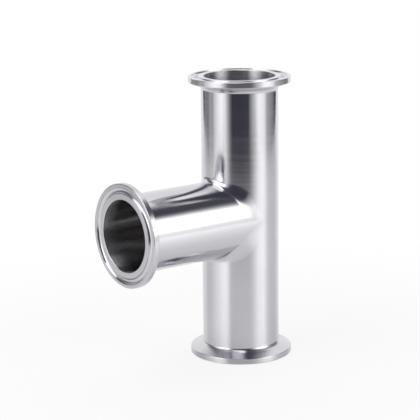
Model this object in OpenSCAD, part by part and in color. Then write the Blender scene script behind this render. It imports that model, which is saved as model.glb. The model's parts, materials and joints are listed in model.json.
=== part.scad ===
// Equal sanitary tee with three clamp ferrules. The axes cross at the origin, with the run upright along Z
// and the branch along -Y. It stands on its lower ferrule. All sizes are in millimetres.

/* [Tube] */
// Outside diameter of the tube, the same on the run and the branch
tube_od = 38.1; // [25:0.1:64]
// Wall thickness of the tube
wall = 1.5; // [1:0.1:3]

/* [Reach] */
// From the crossing of the axes to the sealing face at each end of the run
run_reach = 70; // [50:0.5:160]
// From the crossing of the axes to the sealing face of the branch
branch_reach = 70; // [50:0.5:160]

/* [Clamp ferrules] */
// How far each flange stands out from the tube
flange_stand = 6.2; // [5:0.1:12]
// Thickness of the flange at its rim
rim_w = 2.85; // [2.2:0.05:5]
// Slope of the back of the flange, which the clamp wedges against, in degrees
back_slope = 20; // [10:1:30]
// Radius where the back of the flange runs into the tube
neck_r = 2.5; // [0.5:0.1:4]
// Radius on both edges of the rim
rim_edge_r = 0.4; // [0.2:0.05:0.8]
// Radius at the mouth of the bore
mouth_r = 0.3; // [0.1:0.05:0.6]

/* [Gasket groove] */
// Flat land left between the groove and the rim
outer_land = 1.75; // [1:0.05:2.5]
// Width of the groove at the sealing face
groove_w = 3.2; // [2.8:0.1:4]
// Depth of the round-bottomed groove
groove_depth = 1.3; // [0.5:0.1:1.4]

/* [Branch blend] */
// Outside radius of the blend at the crotch, right over and under the branch
blend_r = 2.5; // [1:0.1:6]
// Outside radius that the blend opens out to at the sides of the branch
blend_side_r = 40; // [6:1:60]

/* [Hidden] */
$fn = 96;

tube_r = tube_od / 2;
bore_r = tube_r - wall;
flange_r = tube_r + flange_stand;

// A round-bottomed groove is an arc over its width, and the arc's centre lies above the sealing face
groove_arc_r = (pow(groove_w / 2, 2) + pow(groove_depth, 2)) / (2 * groove_depth);
groove_mid_r = flange_r - outer_land - groove_w / 2;

// Cutting shapes run this far past the faces they open
past = 1;
// The blend stays tight round most of the crease, and a higher power opens it out closer to the sides
blend_opening = 3;
// The blend's edges lie under the tube's surface by this share of its radius. So it leaves no step there, and
// it runs out on the sides of the branch, where the two tubes already meet smoothly.
blend_sink = 0.004;
// The root of the blend lies this far inside the corner of the two tubes
blend_root = 2 * wall;
// The blend's sections go this many degrees round the tube, to either side of the crotch
blend_turn = 86;
blend_stations = 30;
blend_arc_steps = 5;

// The sliver of a 2D corner that lies outside a tangent arc. The sides leave the corner along the unit
// vectors u and v. Taking it away rounds an outer corner, and adding it fills an inner one.
module corner_sliver(corner, u, v, radius) {
    half_angle = acos(u * v) / 2;
    along = radius / tan(half_angle);
    inward = (u + v) / norm(u + v);
    centre = corner + inward * radius / sin(half_angle);
    difference() {
        polygon([corner - inward * radius / 2, corner + u * along, centre, corner + v * along]);
        translate(centre) circle(radius);
    }
}

// Half section of one arm, from the crossing of the axes at y = 0 to its sealing face at y = reach
module arm_section(reach) {
    back_y = reach - rim_w;
    neck_y = back_y - flange_stand * tan(back_slope);
    down_slope = [-cos(back_slope), -sin(back_slope)];
    difference() {
        union() {
            polygon([
                [0, 0],
                [tube_r, 0],
                [tube_r, neck_y],
                [flange_r, back_y],
                [flange_r, reach],
                [0, reach]
            ]);
            corner_sliver([tube_r, neck_y], -down_slope, [0, -1], neck_r);
        }
        corner_sliver([flange_r, back_y], down_slope, [0, 1], rim_edge_r);
        corner_sliver([flange_r, reach], [0, -1], [-1, 0], rim_edge_r);
        translate([groove_mid_r, reach - groove_depth + groove_arc_r]) circle(groove_arc_r);
    }
}

// Half section of the bore in one arm, flared by the mouth's radius
module bore_section(reach) {
    square([bore_r, reach + past]);
    corner_sliver([bore_r, reach], [0, -1], [1, 0], mouth_r);
}

// Lays an upright arm along the branch's axis, towards -Y
module along_branch() {
    rotate([90, 0, 0]) children();
}

// Outside radius of the blend at the angle t round the tube, from the crotch at 0 to the sides at 90
function blend_r_at(t) = blend_r + (blend_side_r - blend_r) * pow(1 - cos(t), blend_opening);

// One point of the blend at the angle t round the tube. The blend is rolled by a ball that touches run and
// branch at once. share goes from 0 on the run to 1 on the branch, and radius is the distance from the
// ball's centre.
function blend_point(t, share, radius) =
    let (
        centre = (tube_r + blend_r_at(t) * (1 - blend_sink)) * [-sin(t), -cos(t), cos(t)],
        to_run = [sin(t), cos(t), 0],
        to_branch = [sin(t), 0, -cos(t)],
        span = acos(to_run * to_branch),
        direction = (sin((1 - share) * span) * to_run + sin(share * span) * to_branch) / sin(span)
    )
    centre + radius * direction;

// The saddle between two equal tubes, over the branch and under it, at a depth of 0 on the outside or of the
// wall on the inside. Each section is the ball's arc, closed by a root that lies inside the tubes.
module saddle_blend(depth) {
    side = blend_arc_steps + 2;
    last = blend_stations * side;
    points = [
        for (i = [0:blend_stations])
            let (
                t = blend_turn * (2 * i / blend_stations - 1),
                ball_r = blend_r_at(t) + depth,
                corner_r = ball_r * sqrt(2 / (1 + pow(sin(t), 2)))
            )
            each [
                for (j = [0:blend_arc_steps]) blend_point(t, j / blend_arc_steps, ball_r),
                blend_point(t, 0.5, corner_r + blend_root)
            ]
    ];
    walls = [
        for (i = [0:blend_stations - 1], j = [0:side - 1])
            let (
                a = i * side + j,
                b = i * side + (j + 1) % side
            )
            each [[a, b, b + side], [a, b + side, a + side]]
    ];
    first_cap = [for (j = [side - 1:-1:0]) j];
    last_cap = [for (j = [0:side - 1]) last + j];
    for (under = [0, 1])
        mirror([0, 0, under])
            polyhedron(points, concat(walls, [first_cap, last_cap]));
}

// Tube body with its drawn branch and the three ferrules, welded, ground flush and polished as one piece
module clamp_tee() {
    color("#c9cad2")
    difference() {
        union() {
            rotate_extrude() {
                arm_section(run_reach);
                mirror([0, 1]) arm_section(run_reach);
            }
            along_branch() rotate_extrude() arm_section(branch_reach);
            saddle_blend(0);
        }
        rotate_extrude() {
            bore_section(run_reach);
            mirror([0, 1]) bore_section(run_reach);
        }
        along_branch() rotate_extrude() bore_section(branch_reach);
        saddle_blend(wall);
    }
}

clamp_tee();
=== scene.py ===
import json
import math

import bpy
from mathutils import Matrix, Vector


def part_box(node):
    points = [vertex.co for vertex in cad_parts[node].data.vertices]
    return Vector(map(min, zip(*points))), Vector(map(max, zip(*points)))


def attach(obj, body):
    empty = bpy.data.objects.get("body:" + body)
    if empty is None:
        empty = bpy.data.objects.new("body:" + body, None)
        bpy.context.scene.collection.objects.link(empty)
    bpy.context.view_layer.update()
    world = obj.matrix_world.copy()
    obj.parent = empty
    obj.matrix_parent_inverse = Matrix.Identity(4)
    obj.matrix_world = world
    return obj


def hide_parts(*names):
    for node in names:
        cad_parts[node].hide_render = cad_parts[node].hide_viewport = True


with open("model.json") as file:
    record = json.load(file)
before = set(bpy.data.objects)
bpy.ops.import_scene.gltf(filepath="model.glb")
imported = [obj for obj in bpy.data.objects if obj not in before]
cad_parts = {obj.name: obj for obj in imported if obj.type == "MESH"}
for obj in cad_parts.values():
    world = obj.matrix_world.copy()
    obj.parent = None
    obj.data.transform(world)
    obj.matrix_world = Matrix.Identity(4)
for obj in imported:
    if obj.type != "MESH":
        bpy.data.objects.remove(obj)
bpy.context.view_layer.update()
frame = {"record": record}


# Clamp tee: a body of 1.5 inch sanitary tube in 316L stainless steel, with the branch drawn out of its
# wall. A turned clamp ferrule is butt-welded to each of the three ends, and the welds are ground flush. The
# tubes are then buffed round and round until no seam is left, and the bores are honed.
MM = 0.001
tee_low, tee_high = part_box("clamp_tee")
bore_r = next(m["dims"]["r_mm"] for m in frame["record"]["mounts"] if m["name"] == "run_bore") * MM
wall = 1.5 * MM
tube_r = bore_r + wall
flange_r = tee_high.x

# The clamp ferrule: a rim with a sloping back for the clamp, and a round-bottomed groove for the gasket's
# bead. The groove's arc touches a floor and two leaning sides. It gets a little less than its full radius,
# which leaves room for the round on each lip.
rim_w = 2.85 * MM
rim_round = 0.4 * MM
back_slope = math.radians(20)
outer_land = 1.75 * MM
groove_half_w = 1.6 * MM
groove_depth = 1.3 * MM
groove_arc_r = (groove_half_w ** 2 + groove_depth ** 2) / (2 * groove_depth)
groove_lean = (groove_half_w ** 2 - groove_depth ** 2) / (2 * groove_half_w)
groove_round_share = 0.92

# The blend where the branch is drawn out: tight at the crotch, over and under the branch, and wide open at
# its sides. A higher opening keeps it tight further round. It opens sooner on the run than on the branch.
crotch_blend = 2.5 * MM
side_blend = 40 * MM
run_opening = 1.5
branch_opening = 3.0

# What lies this close to the bore's wall gets the bore's finish
bore_skin = 0.05 * MM

arm_sizes = {
    "Tube Radius": tube_r,
    "Bore Radius": bore_r,
    "Flange Radius": flange_r,
    "Rim Width": rim_w,
    "Back Rise": (flange_r - tube_r) * math.tan(back_slope),
    "Neck Round": 2.5 * MM,
    "Rim Round": rim_round,
    "Groove Radius": flange_r - outer_land - groove_half_w,
    "Groove Half Width": groove_half_w,
    "Groove Floor Half Width": groove_half_w - groove_lean,
    "Groove Depth": groove_depth,
    "Groove Round": groove_round_share * groove_arc_r,
    "Groove Lip Round": 0.12 * MM,
    "Mouth Round": 0.3 * MM,
    "Bore Edge": bore_r + bore_skin,
    "Crotch Blend": crotch_blend,
    "Side Blend": side_blend,
    "Segments": 256,
    "Round Steps": 10,
}
tee_sizes = {
    **arm_sizes,
    "Run Reach": tee_high.z,
    "Branch Reach": -tee_low.y,
    "Wall": wall,
    "Run Blend Opening": run_opening,
    "Branch Blend Opening": branch_opening,
    "Blend Steps": 20,
    "Seam Gap": 0.001 * MM,
}


def add(tree, kind, inputs=None, **settings):
    """Adds a node with its settings. An input takes a value, a socket, a node, or a list of those.

    Of several inputs with one name it fills the one in use. A node stands for its first output in use.
    """
    node = tree.nodes.new(kind)
    for name, value in settings.items():
        setattr(node, name, value)
    for name, value in (inputs or {}).items():
        if isinstance(name, str):
            target = next(socket for socket in node.inputs if socket.enabled and socket.name == name)
        else:
            target = node.inputs[name]
        for source in value if isinstance(value, list) else [value]:
            if isinstance(source, bpy.types.Node):
                source = next(socket for socket in source.outputs if socket.enabled)
            if isinstance(source, bpy.types.NodeSocket):
                tree.links.new(source, target)
            else:
                target.default_value = source
    return node


def new_tree(name, sizes):
    """A geometry tree with a named input for each size, and the sockets that give those sizes in it."""
    tree = bpy.data.node_groups.new(name, "GeometryNodeTree")
    kinds = {bool: "NodeSocketBool", int: "NodeSocketInt", float: "NodeSocketFloat"}
    for size_name, value in sizes.items():
        socket = tree.interface.new_socket(size_name, in_out="INPUT", socket_type=kinds[type(value)])
        socket.default_value = value
    tree.interface.new_socket("Geometry", in_out="OUTPUT", socket_type="NodeSocketGeometry")
    return tree, tree.nodes.new("NodeGroupInput").outputs


def blend_radius(tree, crotch_r, side_r, opening, share):
    """The blend's radius, from crotch_r at the crotch, where share is 1, to side_r where share is 0."""
    wider = add(tree, "ShaderNodeMath", {0: side_r, 1: crotch_r}, operation="SUBTRACT")
    turned = add(tree, "ShaderNodeMath", {0: 1.0, 1: share}, operation="SUBTRACT")
    opened = add(tree, "ShaderNodeMath", {0: turned, 1: opening}, operation="POWER")
    return add(tree, "ShaderNodeMath", {0: wider, 1: opened, 2: crotch_r}, operation="MULTIPLY_ADD")


# One arm, upright on the crossing of the axes: a section of tube, ferrule and bore, swept round the axis
arm, size = new_tree(
    "ferrule_arm",
    {
        **arm_sizes,
        "Reach": tee_sizes["Run Reach"],
        "Blend Opening": tee_sizes["Run Blend Opening"],
        "Meets Both Ways": False,
    },
)
back_h = add(arm, "ShaderNodeMath", {0: size["Reach"], 1: size["Rim Width"]}, operation="SUBTRACT")
neck_h = add(arm, "ShaderNodeMath", {0: back_h, 1: size["Back Rise"]}, operation="SUBTRACT")
floor_h = add(arm, "ShaderNodeMath", {0: size["Reach"], 1: size["Groove Depth"]}, operation="SUBTRACT")
groove_radii = [
    add(arm, "ShaderNodeMath", {0: size["Groove Radius"], 1: size[half]}, operation=side)
    for half, side in (
        ("Groove Half Width", "ADD"),
        ("Groove Floor Half Width", "ADD"),
        ("Groove Floor Half Width", "SUBTRACT"),
        ("Groove Half Width", "SUBTRACT"),
    )
]
# Each corner has a radius, a height and a round, from the outside of the tube over the ferrule to the bore
section = [
    (size["Tube Radius"], 0.0, None),
    (size["Tube Radius"], neck_h, size["Neck Round"]),
    (size["Flange Radius"], back_h, size["Rim Round"]),
    (size["Flange Radius"], size["Reach"], size["Rim Round"]),
    (groove_radii[0], size["Reach"], size["Groove Lip Round"]),
    (groove_radii[1], floor_h, size["Groove Round"]),
    (groove_radii[2], floor_h, size["Groove Round"]),
    (groove_radii[3], size["Reach"], size["Groove Lip Round"]),
    (size["Bore Radius"], size["Reach"], size["Mouth Round"]),
    (size["Bore Radius"], 0.0, None),
]
point_index = add(arm, "GeometryNodeInputIndex")
corner = add(arm, "GeometryNodeIndexSwitch", {"Index": point_index}, data_type="VECTOR")
rounding = add(arm, "GeometryNodeIndexSwitch", {"Index": point_index}, data_type="FLOAT")
for switch in (corner, rounding):
    while len(switch.index_switch_items) < len(section):
        switch.index_switch_items.new()
for number, (radius, height, round_r) in enumerate(section):
    spot = add(arm, "ShaderNodeCombineXYZ", {"X": radius, "Y": height})
    arm.links.new(spot.outputs["Vector"], corner.inputs[str(number)])
    if round_r is not None:
        arm.links.new(round_r, rounding.inputs[str(number)])
corners = add(arm, "GeometryNodePoints", {"Count": len(section), "Position": corner})
outline = add(arm, "GeometryNodePointsToCurves", {"Points": corners})
outline = add(
    arm, "GeometryNodeFilletCurve",
    {"Curve": outline, "Count": size["Round Steps"], "Radius": rounding, "Limit Radius": True}, mode="POLY",
)

# The outline is swept along a ring of the tube's radius, so it is first moved in by that radius
inward = add(arm, "ShaderNodeMath", {0: size["Tube Radius"], 1: -1.0}, operation="MULTIPLY")
onto_ring = add(arm, "ShaderNodeCombineXYZ", {"X": inward})
outline = add(
    arm, "GeometryNodeTransform",
    {"Geometry": outline, "Translation": onto_ring, "Rotation": (math.pi, 0, 0)},
)
ring = add(
    arm, "GeometryNodeCurvePrimitiveCircle",
    {"Resolution": size["Segments"], "Radius": size["Tube Radius"]},
)
swept = add(arm, "GeometryNodeCurveToMesh", {"Curve": ring, "Profile Curve": outline})
swept = add(arm, "GeometryNodeFlipFaces", {"Mesh": swept})

# The plain wall is then drawn back along the axis, to where the blend with the other tube leaves it. The
# value share is 1 at the crotch and 0 at the sides.
place = add(arm, "GeometryNodeInputPosition")
from_axis = add(arm, "ShaderNodeVectorMath", {0: place, 1: (1, 1, 0)}, operation="MULTIPLY")
across = add(arm, "ShaderNodeVectorMath", {0: from_axis}, operation="NORMALIZE")
towards = add(arm, "ShaderNodeVectorMath", {0: across, 1: (0, -1, 0)}, operation="DOT_PRODUCT")
one_way = add(arm, "ShaderNodeMath", {0: towards, 1: 0.0}, operation="MAXIMUM")
both_ways = add(arm, "ShaderNodeMath", {0: towards}, operation="ABSOLUTE")
share = add(
    arm, "GeometryNodeSwitch",
    {"Switch": size["Meets Both Ways"], "False": one_way, "True": both_ways}, input_type="FLOAT",
)
blend_r = blend_radius(arm, size["Crotch Blend"], size["Side Blend"], size["Blend Opening"], share)
start_r = add(arm, "ShaderNodeMath", {0: size["Tube Radius"], 1: blend_r}, operation="ADD")
start_h = add(arm, "ShaderNodeMath", {0: share, 1: start_r}, operation="MULTIPLY")
height = add(arm, "ShaderNodeSeparateXYZ", {"Vector": place}).outputs["Z"]
shift = add(
    arm, "ShaderNodeMapRange",
    {"Value": height, "From Min": 0.0, "From Max": neck_h, "To Min": start_h, "To Max": 0.0},
)
shift = add(arm, "ShaderNodeCombineXYZ", {"Z": shift})
fitted = add(arm, "GeometryNodeSetPosition", {"Geometry": swept, "Offset": shift})

# Two marks for the finish: how far a point is on the branch's side, and whether it is in the bore
off_axis = add(arm, "ShaderNodeVectorMath", {0: from_axis}, operation="LENGTH")
in_bore = add(
    arm, "FunctionNodeCompare",
    {"A": off_axis, "B": size["Bore Edge"]}, data_type="FLOAT", operation="LESS_THAN",
)
for mark, value in (("branch_share", size["Meets Both Ways"]), ("bore_side", in_bore)):
    fitted = add(
        arm, "GeometryNodeStoreNamedAttribute",
        {"Geometry": fitted, "Name": mark, "Value": value}, data_type="FLOAT", domain="POINT",
    )
add(arm, "NodeGroupOutput", {"Geometry": fitted})

# The saddle where two equal tubes blend over the branch. Seen along the crosswise axis, each section is a
# quarter of an ellipse, with one leg up the run and the other out along the branch. It starts as a flat
# sheet, whose X is the angle round the tube and whose Y goes from the run to the branch.
saddle_names = (
    "Tube Radius", "Crotch Blend", "Side Blend", "Run Blend Opening", "Branch Blend Opening", "Segments",
    "Blend Steps",
)
saddle, size = new_tree(
    "saddle_blend", {**{name: tee_sizes[name] for name in saddle_names}, "Depth": 0.0, "In Bore": False},
)
half_turn = add(saddle, "ShaderNodeMath", {0: size["Segments"], 1: 0.5, 2: 1.0}, operation="MULTIPLY_ADD")
sheet = add(
    saddle, "GeometryNodeMeshGrid",
    {"Size X": math.pi, "Size Y": 1.0, "Vertices X": half_turn, "Vertices Y": size["Blend Steps"]},
)
place = add(saddle, "GeometryNodeInputPosition")
flat = add(saddle, "ShaderNodeSeparateXYZ", {"Vector": place}).outputs
to_branch = add(saddle, "ShaderNodeMath", {0: flat["Y"], 1: 0.5}, operation="ADD")
bend = add(saddle, "ShaderNodeMath", {0: to_branch, 1: math.pi / 2}, operation="MULTIPLY")
skin_r = add(saddle, "ShaderNodeMath", {0: size["Tube Radius"], 1: size["Depth"]}, operation="SUBTRACT")
cosine = add(saddle, "ShaderNodeMath", {0: flat["X"]}, operation="COSINE")
crease = add(saddle, "ShaderNodeMath", {0: skin_r, 1: cosine}, operation="MULTIPLY")
outward = []
for tube, turn in (("Run", "SINE"), ("Branch", "COSINE")):
    opening = size[tube + " Blend Opening"]
    blend_r = blend_radius(saddle, size["Crotch Blend"], size["Side Blend"], opening, cosine)
    leg = add(saddle, "ShaderNodeMath", {0: blend_r, 1: size["Depth"]}, operation="ADD")
    leg = add(saddle, "ShaderNodeMath", {0: leg, 1: cosine}, operation="MULTIPLY")
    turned = add(saddle, "ShaderNodeMath", {0: bend}, operation=turn)
    share = add(saddle, "ShaderNodeMath", {0: 1.0, 1: turned}, operation="SUBTRACT")
    outward.append(add(saddle, "ShaderNodeMath", {0: leg, 1: share, 2: crease}, operation="MULTIPLY_ADD"))
crosswise = add(saddle, "ShaderNodeMath", {0: flat["X"]}, operation="SINE")
crosswise = add(saddle, "ShaderNodeMath", {0: crosswise, 1: skin_r}, operation="MULTIPLY")
skin = add(saddle, "ShaderNodeCombineXYZ", {"X": crosswise, "Y": outward[1], "Z": outward[0]})
skin = add(saddle, "ShaderNodeVectorMath", {0: skin, 1: (-1, -1, 1)}, operation="MULTIPLY")
for mark, value in (("branch_share", to_branch), ("bore_side", size["In Bore"])):
    sheet = add(
        saddle, "GeometryNodeStoreNamedAttribute",
        {"Geometry": sheet, "Name": mark, "Value": value}, data_type="FLOAT", domain="POINT",
    )
sheet = add(saddle, "GeometryNodeSetPosition", {"Geometry": sheet, "Position": skin})
add(saddle, "NodeGroupOutput", {"Geometry": sheet})

# The whole tee: the arm of the run twice, the arm of the branch, and the saddle over and under the branch
tee, size = new_tree("clamp_tee", tee_sizes)
arm_links = {name: size[name] for name in arm_sizes}
run_arm, branch_arm = [
    add(
        tee, "GeometryNodeGroup",
        {
            **arm_links,
            "Reach": size[tube + " Reach"],
            "Blend Opening": size[tube + " Blend Opening"],
            "Meets Both Ways": tube == "Branch",
        },
        node_tree=arm,
    )
    for tube in ("Run", "Branch")
]
branch_arm = add(tee, "GeometryNodeTransform", {"Geometry": branch_arm, "Rotation": (math.pi / 2, 0, 0)})
saddle_links = {name: size[name] for name in saddle_names}
outer_saddle, inner_saddle = [
    add(tee, "GeometryNodeGroup", {**saddle_links, "Depth": depth, "In Bore": inside}, node_tree=saddle)
    for depth, inside in ((0.0, False), (size["Wall"], True))
]
inner_saddle = add(tee, "GeometryNodeFlipFaces", {"Mesh": inner_saddle})
upper_half = add(tee, "GeometryNodeJoinGeometry", {"Geometry": [run_arm, outer_saddle, inner_saddle]})
lower_half = add(tee, "GeometryNodeTransform", {"Geometry": upper_half, "Rotation": (0, math.pi, 0)})
joined = add(tee, "GeometryNodeJoinGeometry", {"Geometry": [upper_half, lower_half, branch_arm]})
joined = add(tee, "GeometryNodeMergeByDistance", {"Geometry": joined, "Distance": size["Seam Gap"]})
joined = add(tee, "GeometryNodeSetShadeSmooth", {"Geometry": joined, "Shade Smooth": True})
joined = add(tee, "GeometryNodeRealizeInstances", {"Geometry": joined})


def to_linear(hex_colour):
    """An sRGB hex colour as linear red, green, blue and full alpha."""
    levels = [int(hex_colour[i:i + 2], 16) / 255 for i in (1, 3, 5)]
    return (*((v / 12.92 if v <= 0.04045 else ((v + 0.055) / 1.055) ** 2.4) for v in levels), 1.0)


# Polished 316L stainless steel. The tubes were buffed by hand: a cool, slightly wavy grey mirror, with fine
# lines round each tube that smear what it mirrors along the tube. The turned rims and backs of the ferrules
# are satin, their faces are finer, and the honed bores are duller. Deeper in the bores their colour is
# darkened as painted shade.
steel_light = to_linear("#d4d4d8")
steel_dark = to_linear("#d0cfd4")
# The colour of the painted shade deep in the bores
bore_painted_shade = to_linear("#bab7b7")
polished_roughness = 0.085
finest_polish = 0.8 * polished_roughness
coarsest_polish = 1.25 * polished_roughness
turned_roughness = 0.21
face_roughness = 0.12
honed_roughness = 0.19
mouth_roughness = 0.3

# The gloss is stretched at a right angle to the lines
quarter_turn = 0.25

# Real buffing lines are finer than this, and they are drawn just coarse enough to show. They wander over
# the length of the drift, and the polish changes between these two levels of their noise.
line_spacing = 1.2 * MM
line_drift = 30 * MM
line_depth = 0.002 * MM
line_low = 0.3
line_high = 0.7
wave_length = 14 * MM
wave_depth = 0.03 * MM

steel = bpy.data.materials.new("polished_316L_stainless_steel")
steel.use_nodes = True
metal = steel.node_tree
metal.nodes.clear()
place = add(metal, "ShaderNodeTexCoord").outputs["Object"]
on_branch = add(metal, "ShaderNodeAttribute", attribute_name="branch_share").outputs["Fac"]
in_bore = add(metal, "ShaderNodeAttribute", attribute_name="bore_side").outputs["Fac"]

# Each point's height along its tube, its distance from the tube's axis and its direction round that axis
heights = []
distances = []
directions = []
for axis in (Vector((0, 0, 1)), Vector((0, -1, 0))):
    across = Vector([1 - abs(part) for part in axis])
    height = add(metal, "ShaderNodeVectorMath", {0: place, 1: axis}, operation="DOT_PRODUCT")
    heights.append(add(metal, "ShaderNodeMath", {0: height}, operation="ABSOLUTE"))
    from_axis = add(metal, "ShaderNodeVectorMath", {0: place, 1: across}, operation="MULTIPLY")
    distances.append(add(metal, "ShaderNodeVectorMath", {0: from_axis}, operation="LENGTH"))
    directions.append(add(metal, "ShaderNodeVectorMath", {0: axis, 1: place}, operation="CROSS_PRODUCT"))
along, off_axis, turning = [
    add(metal, "ShaderNodeMix", {"Factor": on_branch, "A": of_run, "B": of_branch}, data_type=kind)
    for (of_run, of_branch), kind in ((heights, "FLOAT"), (distances, "FLOAT"), (directions, "VECTOR"))
]

lay = add(metal, "ShaderNodeCombineXYZ", {"X": off_axis, "Y": along})
lay = add(metal, "ShaderNodeVectorMath", {0: lay, "Scale": 1 / line_spacing}, operation="SCALE")
drift = add(metal, "ShaderNodeVectorMath", {0: place, "Scale": 1 / line_drift}, operation="SCALE")
lay = add(metal, "ShaderNodeVectorMath", {0: lay, 1: drift}, operation="ADD")
lines = add(metal, "ShaderNodeTexNoise", {"Vector": lay, "Scale": 1.0, "Detail": 3.0, "Roughness": 0.6})
waves = add(metal, "ShaderNodeTexNoise", {"Vector": place, "Scale": 1 / wave_length, "Detail": 1.0})
relief = add(metal, "ShaderNodeBump", {"Strength": 1.0, "Distance": wave_depth, "Height": waves})
relief = add(
    metal, "ShaderNodeBump", {"Strength": 1.0, "Distance": line_depth, "Height": lines, "Normal": relief},
)

# Where a finish, or the painted shade in the bores, starts and where it is full, back from the sealing face
# or in from the flange's edge. The three faces lie equally far from the crossing of the axes.
from_face = add(metal, "ShaderNodeMath", {0: tee_high.z, 1: along}, operation="SUBTRACT")
from_edge = add(metal, "ShaderNodeMath", {0: flange_r, 1: off_axis}, operation="SUBTRACT")
zones = {}
for zone, distance, start, full, fade in (
    ("ferrule", from_face, 7 * MM, 5 * MM, "SMOOTHSTEP"),
    ("front", from_face, 3.2 * MM, 2.6 * MM, "LINEAR"),
    ("off_rim", from_edge, 0.1 * MM, rim_round, "LINEAR"),
    ("mouth", from_face, 9 * MM, 0.0, "SMOOTHSTEP"),
    ("depth", from_face, 3 * MM, 25 * MM, "SMOOTHSTEP"),
):
    zones[zone] = add(
        metal, "ShaderNodeMapRange", {"Value": distance, "From Min": start, "From Max": full},
        interpolation_type=fade,
    )
on_face = add(metal, "ShaderNodeMath", {0: zones["front"], 1: zones["off_rim"]}, operation="MULTIPLY")
finish = add(
    metal, "ShaderNodeMapRange",
    {
        "Value": lines, "From Min": line_low, "From Max": line_high,
        "To Min": finest_polish, "To Max": coarsest_polish,
    },
)
finish = add(metal, "ShaderNodeMix", {"Factor": zones["ferrule"], "A": finish, "B": turned_roughness})
finish = add(metal, "ShaderNodeMix", {"Factor": on_face, "A": finish, "B": face_roughness})
honed = add(metal, "ShaderNodeMix", {"Factor": zones["mouth"], "A": honed_roughness, "B": mouth_roughness})
finish = add(metal, "ShaderNodeMix", {"Factor": in_bore, "A": finish, "B": honed})
# Painted shade: the bores' colour darkens from 3 mm to 25 mm back from the face
bore_shade_share = add(metal, "ShaderNodeMath", {0: zones["depth"], 1: in_bore}, operation="MULTIPLY")
tone = add(metal, "ShaderNodeMix", {"Factor": waves, "A": steel_light, "B": steel_dark}, data_type="RGBA")
tone = add(metal, "ShaderNodeMix", {"Factor": bore_shade_share, "A": tone, "B": bore_painted_shade}, data_type="RGBA")
shader = add(
    metal, "ShaderNodeBsdfPrincipled",
    {
        "Base Color": tone, "Metallic": 1.0, "Roughness": finish, "Anisotropic": 1.0,
        "Anisotropic Rotation": quarter_turn, "Normal": relief, "Tangent": turning,
    },
)
add(metal, "ShaderNodeOutputMaterial", {"Surface": shader})
joined = add(tee, "GeometryNodeSetMaterial", {"Geometry": joined, "Material": steel})
add(tee, "NodeGroupOutput", {"Geometry": joined})

# The tree's result becomes a plain mesh. The largest face at each point sets the normal there, so that
# flats stay flat up to their rounds.
blank = bpy.data.objects.new("tee_sizes", bpy.data.meshes.new("tee_sizes"))
bpy.context.scene.collection.objects.link(blank)
shape = blank.modifiers.new("shape", "NODES")
shape.node_group = tee
for item in tee.interface.items_tree:
    if item.in_out == "INPUT":
        shape[item.identifier] = tee_sizes[item.name]
clean_normals = blank.modifiers.new("clean_normals", "WEIGHTED_NORMAL")
clean_normals.weight = 100
clean_normals.keep_sharp = False
shaped = blank.evaluated_get(bpy.context.evaluated_depsgraph_get())
tee_mesh = bpy.data.meshes.new_from_object(shaped)
tee_mesh.name = "clamp_tee_body"
bpy.data.objects.remove(blank)
tee_body = bpy.data.objects.new("clamp_tee_body", tee_mesh)
bpy.context.scene.collection.objects.link(tee_body)
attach(tee_body, "root")
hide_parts("clamp_tee")


# Camera: a long lens a little above the tee, in front of the corner between the run and the branch. It
# aims a little to the left of where the axes cross, and leans by half a degree.
view_azimuth = math.radians(51.947)
view_elevation = math.radians(13.275)
view_distance = 816.87 * MM
aim_right = math.radians(-1.0536)
aim_up = math.radians(0.1714)
view_roll = math.radians(-0.607)
focal_length_mm = 140.61
sensor_width_mm = 36
front = Vector((math.sin(view_azimuth), -math.cos(view_azimuth), 0))
right = Vector((math.cos(view_azimuth), math.sin(view_azimuth), 0))
back = front * math.cos(view_elevation) + Vector((0, 0, math.sin(view_elevation)))
look = (-back + aim_right * right + aim_up * back.cross(right)).normalized()
level_right = look.cross(Vector((0, 0, 1))).normalized()
turn = Matrix.Rotation(view_roll, 3, -look)
axes = [turn @ level_right, turn @ level_right.cross(look), -look]
lens = bpy.data.cameras.new("camera")
lens.sensor_width = sensor_width_mm
lens.lens = focal_length_mm
lens.clip_start = 10 * MM
camera = bpy.data.objects.new("camera", lens)
camera.matrix_world = Matrix.Translation(back * view_distance) @ Matrix(axes).transposed().to_4x4()
bpy.context.scene.collection.objects.link(camera)
bpy.context.scene.camera = camera


# Floor: a white lacquered table that the tee stands on. It ends a little way in front of the tee and beside
# it, so that the room shows past its edges in the steel.
floor_front = 480 * MM
floor_back = 2500 * MM
floor_side = 520 * MM
floor_corners = [
    front * ahead + right * aside + Vector((0, 0, tee_low.z))
    for ahead, aside in (
        (floor_front, -floor_side),
        (floor_front, floor_side),
        (-floor_back, floor_side),
        (-floor_back, -floor_side),
    )
]
floor_mesh = bpy.data.meshes.new("floor")
floor_mesh.from_pydata(floor_corners, [], [(0, 1, 2, 3)])
floor = bpy.data.objects.new("floor", floor_mesh)
bpy.context.scene.collection.objects.link(floor)


def white_share(tree, mirrored_share):
    """How much plain white a ray meets: all from the camera, and mirrored_share off metal or glass."""
    rays = add(tree, "ShaderNodeLightPath").outputs
    mirrored = add(
        tree, "ShaderNodeMath",
        {0: rays["Is Glossy Ray"], 1: rays["Is Transmission Ray"]}, operation="MAXIMUM",
    )
    mirrored = add(tree, "ShaderNodeMath", {0: mirrored, 1: mirrored_share}, operation="MULTIPLY")
    return add(tree, "ShaderNodeMath", {0: mirrored, 1: rays["Is Camera Ray"]}, operation="MAXIMUM")
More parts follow.
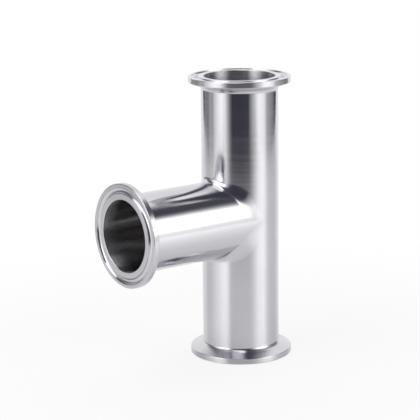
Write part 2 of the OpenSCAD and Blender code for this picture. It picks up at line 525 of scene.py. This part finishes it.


# Semi-gloss white lacquer. The camera sees it as plain white with a soft shadow round the tee. In the steel
# it is white far behind the tee, and dims towards the camera, where the room is dark: its painted white
# glow fades in two stretches, and its colour is darkened as painted shade.
plain_white = to_linear("#ffffff")
matt_white = to_linear("#ececec")
lacquer_roughness = 0.14
lit_shade = 0.98
front_shade = 0.12
shade_start = 150 * MM
shade_full = 420 * MM
shadow_share = 0.15
shadow_near = 90 * MM
shadow_far = 260 * MM
dimming = [(-550 * MM, -350 * MM, 0.24), (200 * MM, floor_front, 0.125)]
lacquer = bpy.data.materials.new("semi_gloss_white_table")
lacquer.use_nodes = True
table = lacquer.node_tree
table.nodes.clear()
place = add(table, "ShaderNodeTexCoord").outputs["Object"]
ahead = add(table, "ShaderNodeVectorMath", {0: place, 1: front}, operation="DOT_PRODUCT")
# Painted shade: the table's colour darkens from near the tee to its front edge, for the dark room in front
shade = add(
    table, "ShaderNodeMapRange",
    {
        "Value": ahead, "From Min": shade_start, "From Max": shade_full,
        "To Min": lit_shade, "To Max": front_shade,
    },
    interpolation_type="SMOOTHSTEP",
)
gloss = add(table, "ShaderNodeBsdfPrincipled", {"Base Color": shade, "Roughness": lacquer_roughness})
matt = add(table, "ShaderNodeBsdfDiffuse", {"Color": matt_white})
white = add(table, "ShaderNodeEmission", {"Color": plain_white, "Strength": 1.0})
away = add(table, "ShaderNodeVectorMath", {0: place}, operation="LENGTH")
shadow = add(
    table, "ShaderNodeMapRange",
    {"Value": away, "From Min": shadow_near, "From Max": shadow_far, "To Min": shadow_share, "To Max": 0.0},
    interpolation_type="SMOOTHSTEP",
)
seen = add(table, "ShaderNodeMixShader", {0: shadow, 1: white, 2: matt})
# Painted light: the white glow that the steel sees in the table fades from far behind the tee to its front
in_steel = 1.0
for start, end, least in dimming:
    dimmer = add(
        table, "ShaderNodeMapRange",
        {"Value": ahead, "From Min": start, "From Max": end, "To Min": 1.0, "To Max": least},
    )
    in_steel = add(table, "ShaderNodeMath", {0: in_steel, 1: dimmer}, operation="MULTIPLY")
surface = add(table, "ShaderNodeMixShader", {0: white_share(table, in_steel), 1: gloss, 2: seen})
add(table, "ShaderNodeOutputMaterial", {"Surface": surface})
floor_mesh.materials.append(lacquer)


# Studio: a dark room in front, a tall soft box on each side of the camera, grey side walls, a white
# backdrop and a soft box overhead. Each row is an azimuth in degrees from the camera, towards its right,
# and the brightness there.
skirting = [
    (-180, 1.1), (-141, 1.1), (-134, 0.06), (-129, 0.06), (-124, 0.3), (-117, 0.25), (-106, 0.27),
    (-96, 0.5), (-88, 0.4), (-80, 0.78), (-65, 1.25), (-55, 1.47), (-45, 1.25), (-39, 0.8), (-33, 0.45),
    (-27, 0.17), (-21, 0.045), (26, 0.052), (32, 0.3), (45, 0.8), (51, 1.13), (59, 1.38), (78, 1.15),
    (83, 0.85), (88, 0.53), (104, 0.37), (116, 0.26), (127, 0.05), (135, 0.05), (140, 0.7), (144, 1.1),
    (180, 1.1),
]
walls = [
    (-180, 1.1), (-142, 1.1), (-128, 1.0), (-121, 0.2), (-106, 0.18), (-97, 0.4), (-90, 0.7), (-84, 1.1),
    (-70, 1.9), (-55, 3.1), (-44, 3.2), (-37, 2.0), (-30, 0.5), (-24, 0.08), (0, 0.05), (26, 0.08),
    (34, 0.4), (44, 1.5), (54, 2.7), (70, 3.4), (80, 2.4), (89, 1.0), (100, 0.35), (118, 0.2), (130, 0.3),
    (142, 1.1), (180, 1.1),
]
ceiling = [
    (-180, 0.95), (-150, 0.8), (-135, 0.2), (-112, 0.07), (-98, 0.15), (-86, 1.0), (-75, 1.2),
    (-55, 0.95), (-44, 0.7), (-36, 0.3), (-29, 0.09), (100, 0.08), (109, 0.09), (118, 0.35), (126, 0.7),
    (136, 1.3), (157, 1.1), (180, 0.95),
]

# The skirting fades into the walls, and the walls into the ceiling, between these elevations
wall_foot = (math.radians(-2), math.radians(16))
wall_top = (math.radians(27), math.radians(47))

# The lamp overhead ends and is full at these angles from its middle
lamp_brightness = 2.0
lamp_azimuth = math.radians(-55)
lamp_elevation = math.radians(72)
lamp_edge = (math.radians(24.5), math.radians(20))

# The backdrop starts and is full at these cosines of the angle between a ray and the camera's side
backdrop_edge = (-0.70, -0.78)

# What is dark in the room is a little blue
dark_tint = (-0.007, -0.008, 0.02, 1)

world = bpy.data.worlds.new("studio")
bpy.context.scene.world = world
world.use_nodes = True
room = world.node_tree
room.nodes.clear()
ray = add(room, "ShaderNodeTexCoord").outputs["Generated"]
ahead = add(room, "ShaderNodeVectorMath", {0: ray, 1: front}, operation="DOT_PRODUCT")
aside = add(room, "ShaderNodeVectorMath", {0: ray, 1: right}, operation="DOT_PRODUCT")
azimuth = add(room, "ShaderNodeMath", {0: aside, 1: ahead}, operation="ARCTAN2")
azimuth = add(room, "ShaderNodeMapRange", {"Value": azimuth, "From Min": -math.pi, "From Max": math.pi})
up = add(room, "ShaderNodeSeparateXYZ", {"Vector": ray}).outputs["Z"]
elevation = add(room, "ShaderNodeMath", {0: up}, operation="ARCSINE")
bands = []
for rows in (skirting, walls, ceiling):
    band = add(room, "ShaderNodeValToRGB", {"Fac": azimuth})
    stops = band.color_ramp.elements
    while len(stops) < len(rows):
        stops.new(1.0)
    for stop, (degrees, brightness) in zip(stops, rows):
        stop.position = (degrees + 180) / 360
        stop.color = (brightness, brightness, brightness, 1)
    bands.append(band)
light = bands[0]
for band, (start, full) in zip(bands[1:], (wall_foot, wall_top)):
    above = add(
        room, "ShaderNodeMapRange", {"Value": elevation, "From Min": start, "From Max": full},
        interpolation_type="SMOOTHSTEP",
    )
    light = add(room, "ShaderNodeMix", {"Factor": above, "A": light, "B": band})
to_lamp = front * math.cos(lamp_azimuth) + right * math.sin(lamp_azimuth)
to_lamp = to_lamp * math.cos(lamp_elevation) + Vector((0, 0, math.sin(lamp_elevation)))
near_lamp = add(room, "ShaderNodeVectorMath", {0: ray, 1: to_lamp}, operation="DOT_PRODUCT")
on_lamp = add(
    room, "ShaderNodeMapRange",
    {"Value": near_lamp, "From Min": math.cos(lamp_edge[0]), "From Max": math.cos(lamp_edge[1])},
    interpolation_type="SMOOTHSTEP",
)
light = add(room, "ShaderNodeMix", {"Factor": on_lamp, "A": light, "B": lamp_brightness})
light = add(
    room, "ShaderNodeMix", {"Factor": light, "A": dark_tint, "B": plain_white},
    data_type="RGBA", clamp_factor=False,
)
studio = add(room, "ShaderNodeBackground", {"Color": light, "Strength": 1.0})
backdrop = add(room, "ShaderNodeBackground", {"Color": plain_white, "Strength": 1.0})
behind = add(
    room, "ShaderNodeMapRange",
    {"Value": ahead, "From Min": backdrop_edge[0], "From Max": backdrop_edge[1]},
    interpolation_type="SMOOTHSTEP",
)
shown = add(room, "ShaderNodeMixShader", {0: white_share(room, behind), 1: studio, 2: backdrop})
add(room, "ShaderNodeOutputWorld", {"Surface": shown})
bpy.context.scene.view_settings.view_transform = "Standard"
